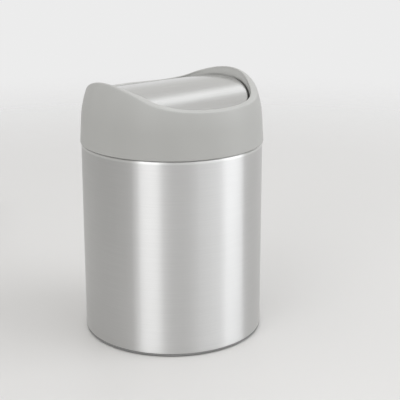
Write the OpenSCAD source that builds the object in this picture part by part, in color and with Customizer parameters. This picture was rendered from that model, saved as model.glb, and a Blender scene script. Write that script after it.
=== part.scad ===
// Small round countertop bin with a lift-off housing and a swinging flap.
// Origin: centre of the base on the counter. +Z up. X runs along the flap's pivots.

/* [Can] */
// Outside diameter of the rolled steel can, mm
can_d = 125; // [115:0.5:135]
// Height of the top of the can's curled edge above the counter, mm
can_top_z = 134.7; // [125:0.1:145]
// Thickness of the can's sheet, mm
can_sheet = 0.6; // [0.4:0.1:0.8]
// Outside radius of the curled top edge, mm
curl_r = 1.3; // [1:0.1:1.6]

/* [Base] */
// Height of the can's lower hem above the counter, mm
hem_z = 1.8; // [1.6:0.1:2.4]
// Height of the underside of the pressed base disc, mm
disc_z = 6.4; // [5.5:0.1:9]
// Height that the rubber pads hold the base ring off the counter, mm
pad_reach = 0.6; // [0.4:0.1:0.8]
// Radius of a rubber pad, mm
pad_r = 4; // [3:0.5:4.5]

/* [Lid housing] */
// Height of the two ear peaks above the counter, mm
ear_z = 179.8; // [176:0.1:184]
// Height of the rim's two low points above the counter, mm
valley_z = 165.5; // [163:0.1:168]
// Radius of the rim's two kinds of arc, seen along the pivots, mm
wave_r = 75; // [70:0.5:80]
// Overhang of the housing's lower edge past the can, mm
skin_overhang = 0.7; // [0.4:0.1:1]
// Height of the straight, slightly drawn-in lower band, mm
band_h = 17.2; // [14:0.1:20]
// Draw-in of that band, degrees
band_lean = 3.55; // [2:0.05:5]
// Radius of the arc by which the skin curves in towards the ears, mm
skin_arc_r = 66; // [62:0.5:70]
// Wall thickness of the housing's skin and throat, mm
wall = 2; // [1.6:0.1:2.4]

/* [Flap] */
// Height of the swing axis above the counter, mm
pivot_z = 154; // [152:0.5:156]
// Radius of the sphere about the pivots that the flap's edge lies on, mm
flap_r = 55.2; // [54.6:0.1:55.4]
// Half length of the flap along its pivots, mm
flap_half_l = 49.4; // [48.8:0.1:49.8]
// Radius of the flap's two ends in plan, mm
end_arc_r = 62; // [60:1:80]
// Height of the flap's crown above the counter, mm
crown_z = 174.2; // [172:0.1:174.6]
// Radius of the flap's arch, seen along the pivots, mm
arch_r = 115; // [105:1:125]
// Thickness of the flap's steel sheet, mm
skin_sheet = 0.5; // [0.4:0.1:0.7]
// Depth of the steel sheet's turned-down edge, mm
skin_turn = 5; // [4:0.5:5]
// Gap between the flap's edge and the throat, mm
throat_gap = 0.9; // [0.7:0.1:1.2]
// Swing to each side, degrees
swing = 80; // [70:1:85]

/* [Pivots and weight] */
// Radius of the pivot pins, mm
pin_r = 2.5; // [2:0.1:3]
// Clearance of a pin in its bush, on the radius, mm
pin_play = 0.05; // [0.02:0.01:0.1]
// Outside radius of a bush, mm
bush_r = 4; // [3.5:0.1:4.5]
// Length, width and height of the counterweight bar, mm
bar_l = 84; // [70:1:88]
bar_w = 14; // [12:0.5:16]
bar_h = 10; // [8:0.5:11]
// Height of the bar's centre below the swing axis, mm
bar_drop = 14; // [13:0.5:15]

/* [Hidden] */
$fn = 96;
eps = 0.01;
far = 90;

can_r = can_d / 2;
can_in_r = can_r - can_sheet;
curl_z = can_top_z - curl_r;

// Base: the hem's lip, the base disc's turned edge, the ring and its pads
hem_in_r = can_r - 4;
disc_step_r = 48;
disc_step_h = 1.2;
disc_slope = 1.5;
ring_out_r = can_r - 0.3;
ring_in_r = 50.5;
ring_wall = 1.4;
ring_play = 0.1;
ring_top_gap = 0.4;
hook_h = 0.8;
hook_reach = 0.5;
pad_n = 4;
pad_sink = 0.7;
pad_ring_r = (ring_in_r + ring_out_r) / 2;

// Housing: the skin's arc is tangent to the top of the straight band
lid_z = can_top_z + 0.3;
skin_r = can_r + skin_overhang;
band_top_z = lid_z + band_h;
band_top_r = skin_r - band_h * tan(band_lean);
skin_arc_x = band_top_r - skin_arc_r * cos(band_lean);
skin_arc_z = band_top_z - skin_arc_r * sin(band_lean);
throat_r = flap_r + throat_gap;
throat_neck_z = pivot_z + 20;
throat_neck_r = sqrt(pow(throat_r, 2) - pow(throat_neck_z - pivot_z, 2));
rim_solid = 3;

// Rim line: an arch over each ear and a reversed arc on to each low point
wave_mid_z = (ear_z + valley_z) / 2;
wave_far_y = sqrt(pow(2 * wave_r, 2) - pow(2 * wave_r - (ear_z - valley_z), 2));

// Skirt ring, which closes the housing from below and drops into the can
flange_h = 2;
skirt_depth = 14;
skirt_out_r = can_r - 3.2;
skirt_in_r = skirt_out_r - 2;
skirt_rib_n = 12;
skirt_rib_r = 0.9;
skirt_rib_sink = 0.6;
bead_r = 0.45;
bead_play = 0.1;
flange_play = 0.15;

// Pivots, worked out from the throat outwards
seat_x = throat_r - 0.7;
bush_flange = 0.8;
bush_flange_r = 5.5;
bush_l = 3.6;
seat_r = 7;
pin_end_gap = 0.3;
pin_end_x = seat_x + bush_l - pin_end_gap;
boss_gap = 0.9;
boss_face_x = seat_x - bush_flange - boss_gap;
boss_r = 5.5;
boss_in_x = 44;
pin_head = 1.2;
pin_head_r = 4;

// Stops: a finger on the flap meets the ends of a C-shaped land in the throat
stop_in_r = 8.5;
stop_out_r = 13;
stop_play = 0.4;
stop_ease = 1.5;
finger_half = 30;
stop_face_gap = 1.2;
stop_face_x = flap_half_l + stop_face_gap;
cheek_x = flap_half_l - 4;
cheek_t = 2.5;
cheek_w = 22;
cheek_drop = 6;

// Carrier under the steel sheet
carrier_t = 2;
carrier_edge = 9;
sheet_play = 0.1;
post_x = 30;
post_r = 4;
rib_t = 1.6;
rib_h = 9;
pilot_r = 1.5;
bar_hole_r = 1.8;
bar_z = pivot_z - bar_drop;
screw_grip = 12;
screw_head_r = 3.2;
screw_head_h = 2.2;
slot_l = 4;
slot_w = 0.8;
slot_depth = 1;

STEEL = [0.78, 0.78, 0.77];
GREY = [0.68, 0.68, 0.66];
DARK = [0.20, 0.20, 0.20];
WHITE = [0.88, 0.88, 0.86];

// Lays a flat outline, drawn in Y and Z, across the part along X
module along_x(length) {
    rotate([90, 0, 90])
        linear_extrude(height = length, center = true)
            children();
}

// A rod along +X that starts at x = start
module x_rod(r, start, length) {
    translate([start, 0, 0])
        rotate([0, 90, 0])
            cylinder(r = r, h = length);
}

// The children at the +X pivot, or mirrored to the other side
module at_side(side) {
    mirror([side < 0 ? 1 : 0, 0, 0])
        children();
}

// The area under the rim line, lowered by drop
module under_rim(drop) {
    translate([0, -drop]) {
        difference() {
            translate([-far, 0])
                square([2 * far, wave_mid_z]);
            for (side = [-1, 1])
                translate([side * wave_far_y, valley_z + wave_r])
                    circle(r = wave_r, $fn = 180);
        }
        intersection() {
            translate([0, ear_z - wave_r])
                circle(r = wave_r, $fn = 180);
            translate([-wave_far_y / 2, wave_mid_z - eps])
                square([wave_far_y, far]);
        }
    }
}

// Half section of all that the skin encloses, drawn in by inset
module skin_section(inset) {
    polygon([[0, lid_z - 1], [skin_r + tan(band_lean) - inset, lid_z - 1],
             [band_top_r - inset, band_top_z], [0, band_top_z]]);
    intersection() {
        translate([skin_arc_x, skin_arc_z])
            circle(r = skin_arc_r - inset, $fn = 240);
        translate([0, band_top_z - eps])
            square([far, far]);
    }
}

// Half section of the throat, drawn out by grow
module throat_section(grow) {
    square([throat_r + grow, pivot_z]);
    square([throat_neck_r + grow, ear_z + 10]);
    intersection() {
        translate([0, pivot_z])
            circle(r = throat_r + grow, $fn = 240);
        square([far, ear_z + 10]);
    }
}

// C-shaped land round a bush, open at the top by the swing and the finger
module stop_land() {
    open = swing + finger_half + stop_ease;
    at = stop_out_r * 2;
    intersection() {
        translate([0, 0, pivot_z])
            rotate([90, 0, 90])
                translate([0, 0, stop_face_x])
                    linear_extrude(height = throat_r + 1 - stop_face_x)
                        difference() {
                            circle(r = stop_out_r);
                            circle(r = stop_in_r);
                            polygon([[0, 0], [at * sin(open), at * cos(open)], [at, at],
                                     [-at, at], [-at * sin(open), at * cos(open)]]);
                        }
        cylinder(r = throat_r + 1, h = ear_z);
    }
}

// Rolled and brushed tube with a curled top edge and a hem turned in below
module body_shell() {
    color(STEEL)
        rotate_extrude($fn = 180) {
            translate([can_in_r, hem_z])
                square([can_sheet, curl_z - hem_z]);
            translate([hem_in_r, hem_z])
                square([can_r - hem_in_r, can_sheet]);
            difference() {
                translate([can_r - curl_r, curl_z])
                    circle(r = curl_r, $fn = 48);
                translate([can_r - curl_r, curl_z])
                    circle(r = curl_r - can_sheet, $fn = 48);
                translate([can_r - 3 * curl_r, curl_z - 2 * curl_r])
                    square([2 * curl_r, 2 * curl_r]);
                translate([can_r - curl_r - eps, curl_z - 2 * curl_r])
                    square([curl_r - can_sheet + eps, 2 * curl_r]);
            }
        }
}

// Pressed disc that closes the can, with a raised centre and a turned-down edge
module base_disc() {
    color(STEEL)
        rotate_extrude($fn = 180) {
            translate([0, disc_z + disc_step_h])
                square([disc_step_r, can_sheet]);
            polygon([[disc_step_r - eps, disc_z + disc_step_h], [disc_step_r + disc_slope, disc_z],
                     [disc_step_r + disc_slope, disc_z + can_sheet],
                     [disc_step_r - eps, disc_z + disc_step_h + can_sheet]]);
            translate([disc_step_r + disc_slope - eps, disc_z])
                square([can_in_r - disc_step_r - disc_slope + eps, can_sheet]);
            translate([can_in_r - can_sheet, hem_z + can_sheet])
                square([can_sheet, disc_z - hem_z - can_sheet + eps]);
        }
}

// Moulded ring under the hem, with an upstand that hooks over it
module base_ring() {
    upstand_r = hem_in_r - ring_play;
    color(DARK)
        difference() {
            rotate_extrude($fn = 180) {
                translate([ring_in_r, pad_reach])
                    square([ring_out_r - ring_in_r, hem_z - pad_reach]);
                translate([upstand_r - ring_wall, hem_z - eps])
                    square([ring_wall, disc_z - hem_z - ring_top_gap]);
                translate([upstand_r - eps, hem_z + can_sheet + ring_play])
                    polygon([[0, 0], [hook_reach, 0], [0, hook_h]]);
            }
            for (i = [0 : pad_n - 1])
                rotate(45 + i * 360 / pad_n)
                    translate([pad_ring_r, 0, 0])
                        cylinder(r = pad_r, h = pad_reach + pad_sink);
        }
}

// Rubber pads set in the ring, on which the bin stands
module foot_pads() {
    color([0.12, 0.12, 0.12])
        for (i = [0 : pad_n - 1])
            rotate(45 + i * 360 / pad_n)
                translate([pad_ring_r, 0, 0])
                    cylinder(r = pad_r, h = pad_reach + pad_sink);
}

// Housing moulding: skin, rim and throat in one piece, hollow from below
module lid_shell() {
    color(GREY)
        difference() {
            union() {
                difference() {
                    intersection() {
                        rotate_extrude($fn = 180)
                            difference() {
                                skin_section(0);
                                throat_section(0);
                            }
                        along_x(2 * far)
                            under_rim(0);
                    }
                    intersection() {
                        rotate_extrude($fn = 180)
                            difference() {
                                skin_section(wall);
                                throat_section(wall);
                            }
                        along_x(2 * far)
                            under_rim(rim_solid);
                    }
                }
                for (side = [-1, 1])
                    at_side(side) {
                        translate([0, 0, pivot_z])
                            x_rod(seat_r, seat_x, bush_l + 1);
                        stop_land();
                    }
            }
            // Lower edge, and the seat for the skirt ring's flange and bead
            translate([0, 0, lid_z - far])
                cylinder(r = far, h = far);
            rotate_extrude($fn = 180) {
                square([throat_r + wall + 1, lid_z + flange_h]);
                translate([skin_r - wall - flange_play, lid_z + flange_h / 2])
                    circle(r = bead_r + bead_play, $fn = 32);
            }
            for (side = [-1, 1])
                at_side(side)
                    translate([0, 0, pivot_z])
                        x_rod(bush_r, seat_x - 1, bush_l + 1);
        }
}

// Ring snapped into the housing: flange, snap bead and the skirt with its ribs
module skirt_ring() {
    flange_r = skin_r - wall - flange_play;
    color(GREY) {
        rotate_extrude($fn = 180) {
            translate([throat_r, lid_z])
                square([flange_r - throat_r, flange_h]);
            translate([skirt_in_r, lid_z - skirt_depth])
                square([skirt_out_r - skirt_in_r, skirt_depth + eps]);
            translate([flange_r, lid_z + flange_h / 2])
                circle(r = bead_r, $fn = 32);
        }
        for (i = [0 : skirt_rib_n - 1])
            rotate((i + 0.5) * 360 / skirt_rib_n)
                translate([skirt_out_r - skirt_rib_sink, 0, lid_z - skirt_depth + 2])
                    cylinder(r = skirt_rib_r, h = skirt_depth - 2, $fn = 24);
    }
}

// Flanged bush pressed into the housing from the throat's side
module pivot_bush(side) {
    color(WHITE)
        at_side(side)
            translate([0, 0, pivot_z])
                difference() {
                    union() {
                        x_rod(bush_flange_r, seat_x - bush_flange, bush_flange);
                        x_rod(bush_r, seat_x - eps, bush_l);
                    }
                    x_rod(pin_r + pin_play, seat_x - bush_flange - 1, bush_l + far);
                }
}

// The space that the flap may fill as it swings, and everything under its arch
module swing_form(inset) {
    intersection() {
        translate([0, 0, pivot_z])
            sphere(r = flap_r - inset, $fn = 180);
        along_x(2 * far)
            translate([0, crown_z - arch_r])
                circle(r = arch_r - inset, $fn = 360);
    }
}

// That space, cut to the flap's plan by an upright arc at each end
module flap_form(inset) {
    intersection() {
        swing_form(inset);
        end_arcs(inset);
    }
}

// The plan that the two end arcs leave between them
module end_arcs(inset) {
    intersection_for(side = [-1, 1])
        translate([side * (flap_half_l - end_arc_r), 0, 0])
            cylinder(r = end_arc_r - inset, h = ear_z + far, $fn = 240);
}

// The space below a line that follows the arch, at a depth under the crown
module below_arch(depth) {
    along_x(2 * far)
        translate([0, crown_z - arch_r])
            circle(r = arch_r - depth, $fn = 360);
}

// Brushed sheet pressed to the arch, its edge turned down all round
module flap_skin() {
    color(STEEL)
        difference() {
            flap_form(0);
            flap_form(skin_sheet);
            below_arch(skin_turn);
        }
}

// Outline of an end cheek, from the arch down to the pivot
module cheek() {
    hull() {
        translate([0, pivot_z])
            circle(r = boss_r + 1, $fn = 32);
        translate([-cheek_w / 2, crown_z - cheek_drop])
            square([cheek_w, 1]);
    }
}

// Stop finger, a wedge of a ring that stands above the pivot
module stop_finger() {
    at = stop_out_r * 2;
    translate([0, 0, pivot_z])
        rotate([90, 0, 90])
            translate([0, 0, cheek_x])
                linear_extrude(height = boss_face_x - cheek_x)
                    intersection() {
                        difference() {
                            circle(r = stop_out_r - stop_play);
                            circle(r = boss_r - 1);
                        }
                        polygon([[0, 0], [-at * sin(finger_half), at * cos(finger_half)],
                                 [at * sin(finger_half), at * cos(finger_half)]]);
                    }
}

// Moulded carrier: tray under the sheet, end cheeks, ribs and weight posts
module flap_carrier() {
    under_sheet = skin_sheet + sheet_play;
    color(GREY)
        difference() {
            union() {
                difference() {
                    flap_form(under_sheet);
                    flap_form(under_sheet + carrier_t);
                    below_arch(carrier_edge);
                }
                intersection() {
                    swing_form(under_sheet + eps);
                    for (side = [-1, 1])
                        at_side(side) {
                            translate([cheek_x + cheek_t / 2, 0, 0])
                                along_x(cheek_t)
                                    cheek();
                            translate([0, 0, pivot_z])
                                x_rod(boss_r, boss_in_x, boss_face_x - boss_in_x);
                            stop_finger();
                        }
                }
                intersection() {
                    flap_form(under_sheet + eps);
                    union() {
                        translate([-far / 2, -rib_t / 2, crown_z - rib_h])
                            cube([far, rib_t, rib_h]);
                        for (side = [-1, 1])
                            translate([side * post_x, 0, 0]) {
                                translate([0, 0, bar_z + bar_h / 2])
                                    cylinder(r = post_r, h = crown_z - bar_z - bar_h / 2);
                                translate([-rib_t / 2, -far / 2, crown_z - rib_h])
                                    cube([rib_t, far, rib_h]);
                            }
                    }
                }
            }
            for (side = [-1, 1])
                at_side(side) {
                    translate([0, 0, pivot_z])
                        x_rod(pin_r, boss_in_x - 1, far);
                    translate([post_x, 0, bar_z])
                        cylinder(r = pilot_r, h = bar_h / 2 + screw_grip);
                }
        }
}

// Headed steel pin, pushed outwards through the carrier's boss into the bush
module pivot_pin(side) {
    color(STEEL)
        at_side(side)
            translate([0, 0, pivot_z]) {
                x_rod(pin_head_r, boss_in_x - pin_head, pin_head);
                x_rod(pin_r, boss_in_x - eps, pin_end_x - boss_in_x);
            }
}

// Steel bar that keeps the flap level, drilled for its screws
module counterweight() {
    color([0.45, 0.45, 0.46])
        difference() {
            intersection() {
                translate([-bar_l / 2, -bar_w / 2, bar_z - bar_h / 2])
                    cube([bar_l, bar_w, bar_h]);
                translate([0, 0, bar_z])
                    rotate([45, 0, 0])
                        cube([far, (bar_w + bar_h) / sqrt(2) - 1, (bar_w + bar_h) / sqrt(2) - 1],
                             center = true);
            }
            for (side = [-1, 1])
                translate([side * post_x, 0, bar_z - bar_h])
                    cylinder(r = bar_hole_r, h = 2 * bar_h);
        }
}

// Pan-head screws that hold the bar to the carrier's posts
module weight_screws() {
    color([0.6, 0.6, 0.6])
        for (side = [-1, 1])
            translate([side * post_x, 0, bar_z - bar_h / 2]) {
                translate([0, 0, -screw_head_h])
                    difference() {
                        cylinder(r = screw_head_r, h = screw_head_h);
                        for (turn = [0, 90])
                            rotate(turn)
                                translate([-slot_l / 2, -slot_w / 2, -eps])
                                    cube([slot_l, slot_w, slot_depth]);
                    }
                translate([0, 0, -eps])
                    cylinder(r = pilot_r, h = bar_h + screw_grip - 1);
            }
}

body_shell();
base_disc();
base_ring();
foot_pads();
lid_shell();
skirt_ring();
pivot_bush(-1);  // pivot_bush_left
pivot_bush(1);  // pivot_bush_right
flap_skin();
flap_carrier();
pivot_pin(-1);  // pivot_pin_left
pivot_pin(1);  // pivot_pin_right
counterweight();
weight_screws();
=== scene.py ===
"""Looks of a countertop bin with a swinging flap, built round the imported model. Lengths are in metres."""

import math

import bpy
import numpy as np
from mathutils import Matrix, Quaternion, Vector


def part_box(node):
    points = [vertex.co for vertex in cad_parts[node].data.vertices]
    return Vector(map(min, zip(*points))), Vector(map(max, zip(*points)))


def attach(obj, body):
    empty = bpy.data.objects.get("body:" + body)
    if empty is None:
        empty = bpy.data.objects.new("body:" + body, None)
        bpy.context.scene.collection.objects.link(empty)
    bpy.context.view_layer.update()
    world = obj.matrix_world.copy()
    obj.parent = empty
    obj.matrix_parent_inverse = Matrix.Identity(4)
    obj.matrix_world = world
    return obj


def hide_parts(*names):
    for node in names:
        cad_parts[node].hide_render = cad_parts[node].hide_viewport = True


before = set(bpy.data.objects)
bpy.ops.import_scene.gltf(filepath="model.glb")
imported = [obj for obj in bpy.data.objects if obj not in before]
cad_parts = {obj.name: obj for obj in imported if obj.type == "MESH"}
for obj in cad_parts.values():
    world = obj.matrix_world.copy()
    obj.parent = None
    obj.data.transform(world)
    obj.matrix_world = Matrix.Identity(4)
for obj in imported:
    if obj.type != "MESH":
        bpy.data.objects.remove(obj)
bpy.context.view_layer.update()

MM = 0.001
AROUND = 256  # points round the bin
SEARCH_STEPS = 40  # steps in which a point on two surfaces is closed in on

# Driving sizes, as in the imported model, but with the rim 0.3 mm lower at the front and back, as photographed
SHEET = 0.6 * MM
CURL_R = 1.3 * MM
HEM_LIP = 4 * MM
HEM_BEND = 0.8 * MM
BAND_H = 17.2 * MM
BAND_LEAN = math.radians(3.55)
SKIN_ARC_R = 66 * MM
WAVE_R = 75 * MM
VALLEY_Z = 165.2 * MM
WALL = 2 * MM
RIM_SOLID = 3 * MM
EAR_SOLID = 5.5 * MM
FLANGE_H = 2 * MM
PIVOT_Z = 154 * MM
FLAP_R = 55.2 * MM
THROAT_R = 56.1 * MM
NECK_H = 20 * MM
END_ARC_R = 62 * MM
ARCH_R = 115 * MM
SKIN_SHEET = 0.5 * MM
SKIN_TURN = 5 * MM
BUSH_R = 4 * MM
BUSH_L = 3.6 * MM
SEAT_R = 7 * MM
SEAT_X = THROAT_R - 0.7 * MM
LAND_IN_R = 8.5 * MM
LAND_OUT_R = 13 * MM
LAND_FACE_X = 50.6 * MM
LAND_SINK = 1 * MM
LAND_HALF = 68.5  # degrees that a stop land reaches to each side of straight down

# Roundings of the scene's own pieces
RIM_ROUND_OUT = 1.0 * MM
RIM_ROUND_IN = 1.5 * MM
ROUND_SHARE = 0.45  # the most of the rim's thickness that one rounding takes
FOOT_ROUND = 0.5 * MM
EDGE_BEND = 1.3 * MM
FITTING_ROUND = 0.4 * MM
OUTLINE_POWER = 90  # how sharply the flap's sides meet its ends

# The pads inside the ears
GAP = 1.1 * MM
EAR_FLARE = 2.4 * MM
FLARE_POWER = 1.5
PAD_Z = 160 * MM  # a pad's lower edge
PAD_IN_R = 14.3 * MM  # how near a pad comes to the pivot line
PAD_STEP = 0.3 * MM  # over which a pad's edge rises from the wall
PAD_REACH = math.radians(50)  # to each side of the pivot line

# Sizes read from the frame
CAN_LOW, CAN_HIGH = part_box("body_shell")
LID_LOW, LID_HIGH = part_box("lid_shell")
FLAP_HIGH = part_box("flap_skin")[1]
CAN_R = CAN_HIGH.x
SKIN_R = LID_HIGH.x
LID_Z = LID_LOW.z
EAR_Z = LID_HIGH.z
CROWN_Z = FLAP_HIGH.z
FLAP_HALF_L = FLAP_HIGH.x


def arc(centre, radius, start, end, count):
    """Points (r, z) on a circle: centre + radius * (cos a, sin a), with a from start to end in degrees."""
    a = np.radians(np.linspace(start, end, count))
    return np.column_stack([centre[0] + radius * np.cos(a), centre[1] + radius * np.sin(a)])


def line(start, end, count):
    """Points spaced evenly from start to end."""
    t = np.linspace(0, 1, count)[:, None]
    return np.asarray(start) * (1 - t) + np.asarray(end) * t


def grid_faces(rows, columns, close_rows, close_columns):
    """Quads of a grid of points, with the last row or column joined to the first where asked."""
    i = np.arange(rows if close_rows else rows - 1)[:, None]
    j = np.arange(columns if close_columns else columns - 1)[None, :]
    i_next, j_next = (i + 1) % rows, (j + 1) % columns
    corners = [i * columns + j, i_next * columns + j, i_next * columns + j_next, i * columns + j_next]
    return np.stack([np.broadcast_to(c, (i.size, j.size)).ravel() for c in corners], axis=1)


def mesh_object(name, points, faces):
    """A smooth-shaded object at the origin with these vertices and faces."""
    mesh = bpy.data.meshes.new(name)
    mesh.from_pydata(np.asarray(points).reshape(-1, 3).tolist(), [], [list(f) for f in faces])
    mesh.polygons.foreach_set("use_smooth", [True] * len(mesh.polygons))
    mesh.update()
    piece = bpy.data.objects.new(name, mesh)
    bpy.context.scene.collection.objects.link(piece)
    return piece


def turned(name, section):
    """Closed section (r, z) carried round Z: x = r cos a, y = r sin a."""
    a = np.linspace(0, 2 * np.pi, AROUND, endpoint=False)[:, None]
    r, z = section[None, :, 0], section[None, :, 1]
    points = np.stack([r * np.cos(a), r * np.sin(a), z + 0 * a], axis=2)
    return mesh_object(name, points, grid_faces(AROUND, len(section), True, True))


def corner(before, tip, after, count):
    """Rounds a corner: the parabola from before to after that is drawn towards tip."""
    t = np.linspace(0, 1, count).reshape(-1, *([1] * before.ndim))
    return (1 - t) ** 2 * before + 2 * t * (1 - t) * tip + t ** 2 * after


def skin_radius(z, a):
    """Outer radius of the housing, alike at every angle a: a leaning band, then an arc tangent to it."""
    top_r = SKIN_R - BAND_H * math.tan(BAND_LEAN)
    centre_r = top_r - SKIN_ARC_R * math.cos(BAND_LEAN)
    centre_z = LID_Z + BAND_H - SKIN_ARC_R * math.sin(BAND_LEAN)
    band = SKIN_R - (z - LID_Z) * math.tan(BAND_LEAN)
    bowed = centre_r + np.sqrt(np.maximum(SKIN_ARC_R ** 2 - (z - centre_z) ** 2, 0))
    return np.where(z < LID_Z + BAND_H, band, bowed)


def a_from_end(a):
    """Angle from the nearer end of the pivot line, from -90 to 90 degrees."""
    return np.arctan2(np.sin(a), np.abs(np.cos(a)))


def end_radius(a, grow):
    """Radius at each angle of the flap's end arcs, moved outwards by grow: where a ray from the can's axis
    meets a circle whose centre lies back along the pivot line."""
    back = END_ARC_R - FLAP_HALF_L
    c = np.abs(np.cos(a))
    return -back * c + np.sqrt((END_ARC_R + grow) ** 2 - back ** 2 * (1 - c ** 2))


def plain_throat(z, a):
    """Inner radius of the housing without its pads, alike at every angle a: upright up to the pivots, then a
    sphere about them, then upright."""
    return np.sqrt(THROAT_R ** 2 - np.clip(z - PIVOT_Z, 0, NECK_H) ** 2)


def throat_radius(z, a):
    """Inner radius of the housing. Inside the ears a pad keeps GAP from the surface that the flap's ends
    sweep about the pivots, and above the flap at rest it flares out to the rim. The distance from the pivot
    line tells which point of the flap's arch, taken as a parabola, passes a place, and the flap's end arc at
    that point tells how far the flap reaches there."""
    crown = CROWN_Z - PIVOT_Z
    y = FLAP_HALF_L * np.tan(np.clip(a_from_end(a), -PAD_REACH, PAD_REACH))
    above = np.maximum(z - arch_height(y), 0)
    reach2 = y ** 2 + np.minimum(z - PIVOT_Z, arch_height(y) - PIVOT_Z) ** 2 - crown ** 2
    slope = 1 - crown / ARCH_R
    swept2 = 2 * ARCH_R ** 2 * (np.sqrt(slope ** 2 + np.maximum(reach2, 0) / ARCH_R ** 2) - slope)
    spare = np.sqrt(END_ARC_R ** 2 - np.minimum(swept2, y ** 2)) - np.sqrt(END_ARC_R ** 2 - y ** 2)
    flare = EAR_FLARE * (above / (EAR_Z - CROWN_Z)) ** FLARE_POWER
    padded = end_radius(a, GAP + spare + flare)
    plain = plain_throat(z, a)
    from_pivot = np.hypot(y, z - PIVOT_Z)
    there = np.clip((z - PAD_Z) / PAD_STEP, 0, 1) * np.clip((from_pivot - PAD_IN_R) / PAD_STEP, 0, 1)
    return plain - np.maximum(plain - padded, 0) * there


def rim_height(y):
    """Height of the rim over y: an arch of WAVE_R at the ear, then the arc reversed to its low point."""
    drop = EAR_Z - VALLEY_Z
    far_y = math.sqrt((2 * WAVE_R) ** 2 - (2 * WAVE_R - drop) ** 2)
    y = np.abs(y)
    arch = EAR_Z - WAVE_R + np.sqrt(np.maximum(WAVE_R ** 2 - y ** 2, 0))
    dip = VALLEY_Z + WAVE_R - np.sqrt(np.maximum(WAVE_R ** 2 - (far_y - y) ** 2, 0))
    return np.where(y < far_y / 2, arch, dip)


def rim_point(radius_at, a):
    """Radius and height at which a wall of the housing meets the rim, for each angle a round the can."""
    z = np.full_like(a, EAR_Z)
    for _ in range(SEARCH_STEPS):
        z = 0.5 * z + 0.5 * rim_height(radius_at(z, a) * np.sin(a))
    return radius_at(z, a), z


def arch_height(y):
    """Height of the flap's top over y: a circle of ARCH_R, seen along the pivots."""
    return CROWN_Z - ARCH_R + np.sqrt(ARCH_R ** 2 - y ** 2)


def make_can():
    """The rolled tube: hem, wall and curl as one sheet, carried round as a closed section."""
    curl_z = CAN_HIGH.z - CURL_R
    low = CAN_LOW.z
    curl_at = (CAN_R - CURL_R, curl_z)
    bend_at = (CAN_R - HEM_BEND, low + HEM_BEND)
    hem_r = CAN_R - HEM_LIP
    section = np.vstack([
        line((hem_r, low), (CAN_R - HEM_BEND, low), 4),
        arc(bend_at, HEM_BEND, -90, 0, 8)[1:],
        line((CAN_R, low + HEM_BEND), (CAN_R, curl_z), 40)[1:],
        arc(curl_at, CURL_R, 0, 250, 36)[1:],
        arc(curl_at, CURL_R - SHEET, 250, 0, 30),
        line((CAN_R - SHEET, curl_z), (CAN_R - SHEET, low + HEM_BEND), 12)[1:],
        arc(bend_at, HEM_BEND - SHEET, 0, -90, 4)[1:],
        line((CAN_R - HEM_BEND, low + SHEET), (hem_r, low + SHEET), 3)[1:],
    ])
    return turned("can_shell", section)


def make_housing():
    """The lid moulding: at each angle, a closed section of skin, rounded rim, throat and hollow between."""
    a = np.linspace(0, 2 * np.pi, AROUND, endpoint=False)
    out_r, out_z = rim_point(skin_radius, a)
    in_r, in_z = rim_point(throat_radius, a)
    thick = out_r - in_r
    round_out = np.minimum(RIM_ROUND_OUT, ROUND_SHARE * thick)
    round_in = np.minimum(RIM_ROUND_IN, ROUND_SHARE * thick)
    out_tip = np.stack([out_r, out_z], axis=1)
    in_tip = np.stack([in_r, in_z], axis=1)
    across = (in_tip - out_tip) / np.linalg.norm(in_tip - out_tip, axis=1)[:, None]

    def wall_line(radius_at, z_start, z_end, count, grow=0.0):
        """Points up or down a wall, count of them for each angle."""
        t = np.linspace(0, 1, count)[:, None]
        z = z_start * (1 - t) + z_end * t
        return np.stack([radius_at(z, a) + grow, z], axis=2)

    shoulder_z = out_z - round_out
    neck_z = in_z - round_in
    seat_z = LID_Z + FLANGE_H
    hollow_z = np.minimum(out_z - RIM_SOLID, EAR_Z - EAR_SOLID)
    skin = wall_line(skin_radius, LID_Z + FOOT_ROUND + 0 * a, shoulder_z, 40)
    throat = wall_line(throat_radius, neck_z, seat_z + 0 * a, 40)
    hollow_up = wall_line(plain_throat, seat_z + 0 * a, hollow_z, 12, WALL)
    hollow_down = wall_line(skin_radius, hollow_z, LID_Z + 0 * a, 14, -WALL)
    lower_tip = np.broadcast_to([SKIN_R, LID_Z], (len(a), 2))
    lower_in = np.broadcast_to([SKIN_R - FOOT_ROUND, LID_Z], (len(a), 2))
    section = np.concatenate([
        corner(lower_in, lower_tip, skin[0], 6)[:-1],
        skin,
        corner(skin[-1], out_tip, out_tip + across * round_out[:, None], 12)[1:],
        corner(in_tip - across * round_in[:, None], in_tip, throat[0], 10)[:-1],
        throat,
        hollow_up,
        hollow_down,
    ])
    r, z = section[:, :, 0].T, section[:, :, 1].T
    points = np.stack([r * np.cos(a)[:, None], r * np.sin(a)[:, None], z], axis=2)
    return mesh_object("lid_housing", points, grid_faces(len(a), points.shape[1], True, True))


def flap_edge(a):
    """Radius of the flap's outline at each angle: the swing sphere, and an arc across each end. The smaller
    of the two radii counts, with a slight rounding where they meet."""
    r = np.full_like(a, FLAP_R)
    for _ in range(SEARCH_STEPS):
        r = np.sqrt(FLAP_R ** 2 - (arch_height(r * np.sin(a)) - PIVOT_Z) ** 2)
    ends = end_radius(a, 0)
    return (r ** -OUTLINE_POWER + ends ** -OUTLINE_POWER) ** (-1 / OUTLINE_POWER)


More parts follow.
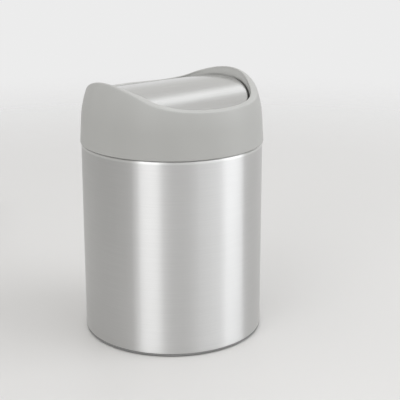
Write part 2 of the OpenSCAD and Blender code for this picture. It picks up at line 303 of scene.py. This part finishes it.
def make_flap():
    """The flap's sheet: rings from the crown outwards, over a rounded edge, down, and back underneath."""
    a = np.linspace(0, 2 * np.pi, AROUND, endpoint=False)
    edge = flap_edge(a)
    inner_bend = EDGE_BEND - SKIN_SHEET
    bend_r = (edge - EDGE_BEND)[None, :]
    flat = (np.arange(1, 41) / 40)[:, None] * bend_r
    turn = np.radians(np.linspace(0, 90, 9)[1:])[:, None]
    back = turn[::-1]
    depth = np.linspace(0, 1, 5)[1:, None]
    down = SKIN_TURN - EDGE_BEND

    def ring(radius, drop):
        """A ring at that radius and that far under the arch."""
        x, y = radius * np.cos(a), radius * np.sin(a)
        return np.stack([x, y, arch_height(y) - drop], axis=-1)

    rings = np.concatenate([
        ring(flat, 0 * flat),
        ring(bend_r + EDGE_BEND * np.sin(turn), EDGE_BEND * (1 - np.cos(turn)) + 0 * bend_r),
        ring(edge + 0 * depth, EDGE_BEND + down * depth + 0 * edge),
        ring(edge - SKIN_SHEET + 0 * depth, EDGE_BEND + down * depth[::-1] + 0 * edge),
        ring(bend_r + inner_bend * np.sin(back), EDGE_BEND - inner_bend * np.cos(back) + 0 * bend_r),
        ring(flat[::-1], SKIN_SHEET + 0 * flat),
    ])
    count, across = len(rings), len(a)
    crown, underside = count * across, count * across + 1
    points = np.vstack([rings.reshape(-1, 3), [0, 0, CROWN_Z], [0, 0, CROWN_Z - SKIN_SHEET]])
    j = np.arange(across)
    after = (j + 1) % across
    last = (count - 1) * across
    faces = grid_faces(count, across, False, True).tolist()
    faces += np.column_stack([j, after, np.full(across, crown)]).tolist()
    faces += np.column_stack([after + last, j + last, np.full(across, underside)]).tolist()
    return mesh_object("flap_sheet", points, faces)


def rounded_box_section(low, high):
    """Closed section with four rounded corners between two opposite corner points, counter-clockwise."""
    (x0, y0), (x1, y1) = low, high
    radius, count = FITTING_ROUND, 5
    return np.vstack([
        arc((x1 - radius, y0 + radius), radius, -90, 0, count),
        arc((x1 - radius, y1 - radius), radius, 0, 90, count),
        arc((x0 + radius, y1 - radius), radius, 90, 180, count),
        arc((x0 + radius, y0 + radius), radius, 180, 270, count),
    ])


def make_boss(name, side):
    """Seat of a bush: a closed section (x, r) carried round the pivot line at the side's end of it."""
    section = rounded_box_section((SEAT_X, BUSH_R), (SEAT_X + BUSH_L, SEAT_R))
    a = np.linspace(0, 2 * np.pi, 64, endpoint=False)[:, None]
    x, r = section[None, :, 0], section[None, :, 1]
    points = np.stack([side * (x + 0 * a), side * r * np.cos(a), PIVOT_Z + r * np.sin(a)], axis=2)
    return mesh_object(name, points, grid_faces(64, len(section), True, True)[:, ::-1])


def make_stop_land(name, side):
    """Stop land below a bush: a rounded section (depth, r) carried along part of a ring about the pivots.
    Its front is rounded, and its back, where depth nears 1, is let into the throat's wall."""
    theta = np.radians(np.linspace(180 - LAND_HALF, 180 + LAND_HALF, 48))[:, None]
    section = rounded_box_section((0, LAND_IN_R), (1, LAND_OUT_R))
    depth, r = section[None, :, 0], section[None, :, 1] + 0 * theta
    y, z = r * np.sin(theta), PIVOT_Z + r * np.cos(theta)
    in_wall = np.sqrt((THROAT_R + LAND_SINK) ** 2 - y ** 2)
    x = np.where(depth > 0.5, in_wall, LAND_FACE_X + depth)
    points = np.stack([side * x, side * y, z], axis=2)
    rows, columns = points.shape[:2]
    faces = grid_faces(rows, columns, False, True).tolist()
    faces.append(list(range(columns)))
    faces.append([(rows - 1) * columns + k for k in range(columns)][::-1])
    return mesh_object(name, points, faces)


class Wire:
    """A socket of a node tree, whose arithmetic adds Math nodes."""

    def __init__(self, tree, socket):
        self.tree = tree
        self.socket = socket

    def maths(self, operation, first, second):
        return self.tree.add("Math", {0: first, 1: second}, operation=operation)

    def __add__(self, other):
        return self.maths("ADD", self, other)

    def __radd__(self, other):
        return self.maths("ADD", other, self)

    def __sub__(self, other):
        return self.maths("SUBTRACT", self, other)

    def __rsub__(self, other):
        return self.maths("SUBTRACT", other, self)

    def __mul__(self, other):
        return self.maths("MULTIPLY", self, other)

    def __rmul__(self, other):
        return self.maths("MULTIPLY", other, self)

    def step(self, start, end):
        """0 below start, 1 above end, smooth between."""
        inputs = {"Value": self, "From Min": start, "From Max": end}
        return self.tree.add("MapRange", inputs, interpolation_type="SMOOTHSTEP")


class Tree:
    """A node tree being built."""

    def __init__(self, owner):
        owner.use_nodes = True
        self.tree = owner.node_tree
        self.tree.nodes.clear()

    def add(self, kind, inputs, out=0, **settings):
        """Adds a node: its settings, then the values or links of its sockets. Gives one of its outputs."""
        node = self.tree.nodes.new("ShaderNode" + kind)
        for name, value in settings.items():
            setattr(node, name, value)
        for key, value in inputs.items():
            if isinstance(value, Wire):
                self.tree.links.new(value.socket, node.inputs[key])
            else:
                node.inputs[key].default_value = value
        return Wire(self, node.outputs[out]) if node.outputs else None

    def place(self):
        """Object coordinates."""
        return self.add("TexCoord", {}, "Object")

    def axis(self, which):
        """One of the object coordinates X, Y and Z, in metres."""
        return self.add("SeparateXYZ", {0: self.place()}, which)

    def noise(self, scale, detail):
        """Noise from 0 to 1; scale is in cycles a metre along X, Y and Z."""
        at = self.add("Mapping", {"Vector": self.place(), "Scale": scale})
        return self.add("TexNoise", {"Vector": at, "Scale": 1.0, "Detail": detail})

    def tint(self, amount, low, high):
        """A colour from low, where amount is 0, to high, where it is 1."""
        low = low if isinstance(low, Wire) else (*low, 1)
        high = high if isinstance(high, Wire) else (*high, 1)
        return self.add("Mix", {0: amount, 6: low, 7: high}, 2, data_type="RGBA")

    def bump(self, height, depth):
        """A normal bent by a relief that is depth metres high where height is 1."""
        return self.add("Bump", {"Height": height, "Distance": depth, "Strength": 1.0})

    def around(self):
        """Distance from the bin's axis, in metres."""
        flat = self.add("VectorMath", {0: self.place(), 1: (1, 1, 0)}, operation="MULTIPLY")
        return self.add("VectorMath", {0: flat}, "Value", operation="LENGTH")


# Where the can's finish changes: the painted highlight and smoother finish of the rolled edge begin, and half
# the weld's width, each from and to
EDGE_HIGHLIGHT_FROM, EDGE_HIGHLIGHT_TO = 132.2 * MM, 133 * MM
WELD_FROM, WELD_TO = 0.3 * MM, 0.6 * MM


def can_steel(tree):
    """Sheet steel brushed round the can, with a painted highlight on its rolled edge, which is also smoother
    there, and a flush weld at the back.
    """
    fine = tree.noise((34, 34, 3400), 3)
    broad = tree.noise((9, 9, 420), 2)
    clouds = tree.noise((16, 16, 11), 2)
    waves = tree.noise((300, 300, 2.5), 3)
    grain = 0.85 * fine + 0.15 * broad
    # Mask of the rolled edge: its colour is lightened there as a painted highlight, and its roughness is
    # lowered
    edge = tree.axis("Z").step(EDGE_HIGHLIGHT_FROM, EDGE_HIGHLIGHT_TO)
    off_weld = tree.add("Math", {0: tree.axis("X")}, operation="ABSOLUTE")
    seam = (1 - off_weld.step(WELD_FROM, WELD_TO)) * tree.axis("Y").step(0, 10 * MM)
    plain = tree.tint(grain.step(0.25, 0.75), (0.646, 0.644, 0.637), (0.682, 0.680, 0.673))
    worn = tree.tint(clouds.step(0.3, 0.7) * 0.06, plain, (0.5, 0.5, 0.49))
    # Painted highlight: the rolled edge's colour is lightened towards (0.78, 0.78, 0.77)
    edge_highlit = tree.tint(edge * 0.6, worn, (0.78, 0.78, 0.77))
    colour = tree.tint(seam * 0.35, edge_highlit, (0.42, 0.415, 0.4))
    roughness = 0.38 + 0.05 * grain + 0.03 * clouds - 0.06 * edge + 0.06 * seam
    relief = grain + 3.0 * waves - 0.6 * seam
    return {"Base Color": colour, "Roughness": roughness, "Normal": tree.bump(relief, 0.000012)}


def flap_steel(tree):
    """Sheet steel brushed along the pivots."""
    fine = tree.noise((34, 3000, 3000), 3)
    broad = tree.noise((7, 260, 260), 2)
    clouds = tree.noise((14, 30, 30), 2)
    grain = 0.7 * fine + 0.3 * broad
    plain = tree.tint(grain.step(0.25, 0.75), (0.568, 0.568, 0.563), (0.630, 0.629, 0.624))
    colour = tree.tint(clouds.step(0.35, 0.7) * 0.06, plain, (0.5, 0.5, 0.49))
    roughness = 0.14 + 0.06 * grain + 0.03 * clouds
    return {"Base Color": colour, "Roughness": roughness, "Normal": tree.bump(grain, 0.000012)}


def moulded(tree, low, high, rough, grain_scale, depth):
    """A moulded plastic: faint flow clouds, a fine texture and a slightly uneven gloss."""
    grain = tree.noise((grain_scale,) * 3, 2)
    flow = tree.noise((22, 22, 9), 3)
    colour = tree.tint(flow.step(0.3, 0.7), low, high)
    roughness = rough + 0.06 * grain + 0.04 * flow
    return {"Base Color": colour, "Roughness": roughness, "Normal": tree.bump(grain, depth)}


def housing_plastic(tree):
    """Warm grey moulded plastic with a fine, even satin texture."""
    return moulded(tree, (0.433, 0.431, 0.412), (0.451, 0.449, 0.430), 0.36, 1500, 0.00002)


def skirt_plastic(tree):
    """The same plastic, a shade darker, with a coarser mould finish."""
    return moulded(tree, (0.34, 0.34, 0.33), (0.38, 0.38, 0.37), 0.5, 1100, 0.00003)


def carrier_plastic(tree):
    """Grey plastic as it leaves the mould."""
    return moulded(tree, (0.30, 0.30, 0.29), (0.34, 0.34, 0.33), 0.5, 1000, 0.00003)


def bush_plastic(tree):
    """Natural, slightly waxy bearing plastic."""
    return moulded(tree, (0.76, 0.75, 0.71), (0.82, 0.81, 0.77), 0.3, 1800, 0.00001)


def base_plastic(tree):
    """Dark matt plastic."""
    return moulded(tree, (0.23, 0.23, 0.226), (0.27, 0.27, 0.265), 0.5, 1200, 0.00003)


def pad_rubber(tree):
    """Black rubber with a dusty bloom."""
    return moulded(tree, (0.018, 0.018, 0.018), (0.032, 0.031, 0.030), 0.75, 900, 0.00004)


def metal_skin(tree, low, high, rough, scale, depth):
    """A plain metal surface: mottled colour and gloss, with fine marks."""
    marks = tree.noise(scale, 3)
    clouds = tree.noise((60, 60, 60), 2)
    colour = tree.tint(0.6 * marks + 0.4 * clouds, low, high)
    return {"Base Color": colour, "Roughness": rough + 0.1 * marks, "Normal": tree.bump(marks, depth)}


def base_steel(tree):
    """Pressed sheet as rolled, with faint rolling lines."""
    return metal_skin(tree, (0.50, 0.50, 0.49), (0.62, 0.62, 0.61), 0.3, (40, 1600, 1600), 0.00001)


def pin_steel(tree):
    """Turned steel, lines round the pin."""
    return metal_skin(tree, (0.55, 0.55, 0.54), (0.70, 0.70, 0.69), 0.18, (5000, 120, 120), 0.000006)


def weight_steel(tree):
    """Zinc-plated bar."""
    return metal_skin(tree, (0.40, 0.41, 0.42), (0.58, 0.59, 0.60), 0.32, (260, 900, 900), 0.00002)


def screw_steel(tree):
    """Zinc-plated screw."""
    return metal_skin(tree, (0.46, 0.47, 0.48), (0.66, 0.66, 0.67), 0.24, (700, 700, 700), 0.00001)


BRUSHED = {"Metallic": 1.0, "Anisotropic": 1.0, "Anisotropic Rotation": 0.25}
METAL = {"Metallic": 1.0}
MOULDED = {"IOR": 1.49}
FINISHES = {
    "can_steel": (can_steel, BRUSHED),
    "flap_steel": (flap_steel, METAL),
    "housing_plastic": (housing_plastic, MOULDED),
    "skirt_plastic": (skirt_plastic, MOULDED),
    "carrier_plastic": (carrier_plastic, MOULDED),
    "bush_plastic": (bush_plastic, MOULDED),
    "base_plastic": (base_plastic, MOULDED),
    "pad_rubber": (pad_rubber, MOULDED),
    "base_steel": (base_steel, METAL),
    "pin_steel": (pin_steel, METAL),
    "weight_steel": (weight_steel, METAL),
    "screw_steel": (screw_steel, METAL),
}


def make_finish(name):
    """The material of a slot: a Principled shader with its constants and the links of its finish."""
    build, constants = FINISHES[name]
    material = bpy.data.materials.new(name)
    tree = Tree(material)
    shader = tree.add("BsdfPrincipled", {**constants, **build(tree)})
    tree.add("OutputMaterial", {"Surface": shader})
    return material


def put_on(piece, material):
    """Gives the piece one material."""
    if not piece.material_slots:
        piece.data.materials.append(material)
    for place in piece.material_slots:
        place.material = material


# Camera, at the photograph's angle: it looks LOOK_AZIMUTH degrees right of +Y, and LOOK_DOWN radians down
LOOK_AZIMUTH = 38.9673
LOOK_DOWN = 0.2627
lens = bpy.data.cameras.new("photo_view")
lens.lens = 91.864
lens.sensor_width = 36
lens.shift_y = -0.08
lens.clip_start = 0.01
camera = bpy.data.objects.new("photo_view", lens)
camera.location = (-0.41786, -0.54747, 0.29917)
camera.rotation_euler = (math.pi / 2 - LOOK_DOWN, 0, -math.radians(LOOK_AZIMUTH))
bpy.context.scene.collection.objects.link(camera)
bpy.context.scene.camera = camera
bpy.context.scene.view_settings.view_transform = "Standard"

# New pieces: each rides on its body and stands for its node
finishes = {name: make_finish(name) for name in FINISHES}
can_shell = make_can()
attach(can_shell, "can")
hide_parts("body_shell")
put_on(can_shell, finishes["can_steel"])

housing = make_housing()
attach(housing, "lid")
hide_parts("lid_shell")
put_on(housing, finishes["housing_plastic"])

for tag, side in (("left", -1), ("right", 1)):
    for make, kind in ((make_boss, "bush_seat_"), (make_stop_land, "stop_land_")):
        fitting = make(kind + tag, side)
        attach(fitting, "lid")
        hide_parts("lid_shell")
        put_on(fitting, finishes["housing_plastic"])

flap_sheet = make_flap()
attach(flap_sheet, "flap")
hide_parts("flap_skin")
put_on(flap_sheet, finishes["flap_steel"])

# Nodes that keep their shape and get their finish
NODE_FINISH = {
    "base_disc": "base_steel",
    "base_ring": "base_plastic",
    "foot_pads": "pad_rubber",
    "skirt_ring": "skirt_plastic",
    "pivot_bush_left": "bush_plastic",
    "pivot_bush_right": "bush_plastic",
    "flap_carrier": "carrier_plastic",
    "pivot_pin_left": "pin_steel",
    "pivot_pin_right": "pin_steel",
    "counterweight": "weight_steel",
    "weight_screws": "screw_steel",
}
for node_name, finish in NODE_FINISH.items():
    put_on(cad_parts[node_name], finishes[finish])


# Studio sizes and colours
FLOOR_R = 1.1
FLOOR_RINGS = 30
FLOOR_POINTS = 96
FADE_FROM, FADE_TO = 0.32 * FLOOR_R, 0.97 * FLOOR_R  # over which the floor gives way to the backdrop
AIM = Vector((0, 0, 0.09))  # what the lamps face
BACKDROP = (0.84, 0.84, 0.84, 1)
LEFT_TINT = (0.980, 0.987, 1.0)
RIGHT_TINT = (0.950, 0.970, 1.0)
CARD_TINT = (1.0, 0.995, 0.975, 1)


def make_floor():
    """A disc at the counter's height, out to FLOOR_R: rings of points, x = r cos a, y = r sin a."""
    a = np.linspace(0, 2 * np.pi, FLOOR_POINTS, endpoint=False)
    r = np.linspace(0.02, 1, FLOOR_RINGS)[:, None] ** 1.5 * FLOOR_R
    points = np.stack([r * np.cos(a), r * np.sin(a), 0 * r * a], axis=2)
    faces = grid_faces(FLOOR_RINGS, FLOOR_POINTS, False, True).tolist()
    faces.append(list(range(FLOOR_POINTS)))
    floor = mesh_object("floor", points, faces)
    material = bpy.data.materials.new("floor_paint")
    tree = Tree(material)
    colour = tree.tint(tree.noise((3, 3, 3), 2), (0.66, 0.648, 0.63), (0.68, 0.668, 0.65))
    solid = tree.add("BsdfPrincipled", {"Base Color": colour, "Roughness": 0.42, "Specular IOR Level": 0.5})
    clear = tree.add("BsdfTransparent", {})
    fade = tree.around().step(FADE_FROM, FADE_TO)
    tree.add("OutputMaterial", {"Surface": tree.add("MixShader", {0: fade, 1: solid, 2: clear})})
    put_on(floor, material)


def compass(turn, rise):
    """Direction seen from the bin: turn degrees to the right of the camera, rise degrees up."""
    look, turn, rise = (math.radians(angle) for angle in (LOOK_AZIMUTH, turn, rise))
    right = Vector((math.cos(look), -math.sin(look), 0))
    near = Vector((-math.sin(look), -math.cos(look), 0))
    flat = near * math.cos(turn) + right * math.sin(turn)
    return flat * math.cos(rise) + Vector((0, 0, math.sin(rise)))


def make_lamp(name, tint, turn, rise, distance, width, height, level, roll):
    """A soft box that faces the bin; level is the brightness of its face, and roll lifts its left end."""
    lamp = bpy.data.lights.new(name, "AREA")
    lamp.shape = "RECTANGLE"
    lamp.size = width
    lamp.size_y = height
    lamp.energy = level * math.pi * width * height
    lamp.color = tint
    holder = bpy.data.objects.new(name, lamp)
    holder.location = AIM + compass(turn, rise) * distance
    facing = (AIM - holder.location).to_track_quat("-Z", "Y")
    holder.rotation_euler = (facing @ Quaternion((0, 0, 1), math.radians(roll))).to_euler()
    holder.visible_camera = False
    bpy.context.scene.collection.objects.link(holder)


def make_card(name, turn_start, turn_end, radius, low, high, level):
    """An upright grey card, bent round the bin's axis, that only shows in its reflections."""
    turns = np.linspace(turn_start, turn_end, 40)
    flat = np.array([list(compass(t, 0)) for t in turns])[:, :2]
    z = np.array([low, high])[None, :, None] + np.zeros((len(turns), 1, 1))
    points = np.concatenate([np.repeat(flat[:, None, :] * radius, 2, axis=1), z], axis=2)
    card = mesh_object(name, points, grid_faces(len(turns), 2, False, False))
    material = bpy.data.materials.new(name)
    tree = Tree(material)
    glow = tree.add("Emission", {"Color": CARD_TINT, "Strength": level})
    tree.add("OutputMaterial", {"Surface": glow})
    put_on(card, material)
    card.visible_camera = False
    card.visible_diffuse = False
    card.visible_shadow = False
    card.visible_transmission = False


def make_world(level):
    """Pale all round in the picture, in reflections and through clear things, and of this level as light."""
    world = bpy.data.worlds.new("studio")
    bpy.context.scene.world = world
    tree = Tree(world)
    camera_ray, glossy, through = [tree.add("LightPath", {}, f"Is {kind} Ray")
                                   for kind in ("Camera", "Glossy", "Transmission")]
    strength = level + (1 - level) * (camera_ray + glossy + through)
    glow = tree.add("Background", {"Color": BACKDROP, "Strength": strength})
    tree.add("OutputWorld", {"Surface": glow})


# Name, tint, turn, rise, distance, width, height, level and roll of each lamp
LAMPS = (
    ("right_box", RIGHT_TINT, 83, 29, 2.2, 1.35, 3.3, 1.56, 0),
    ("side_box", RIGHT_TINT, 48, 36, 2.3, 1.2, 2.0, 0.62, 0),
    ("front_box", LEFT_TINT, -27, 27, 2.2, 1.1, 2.9, 1.40, 0),
    ("back_box", RIGHT_TINT, 172, 38.6, 1.3, 1.1, 0.18, 0.68, 40),
    ("high_left", LEFT_TINT, -75, 60, 1.8, 1.8, 1.8, 0.71, 0),
    ("high_right", RIGHT_TINT, 100, 58, 1.8, 1.9, 1.4, 0.57, 0),
    ("top_box", LEFT_TINT, 0, 88, 1.8, 2.2, 2.2, 0.5, 0),
)
make_floor()
make_world(0.52)
for lamp in LAMPS:
    make_lamp(*lamp)
make_card("left_card", -150, -44, 0.34, 0.0, 0.5, 0.605)
make_card("back_card", 120, 230, 1.5, 0.42, 2.7, 0.75)
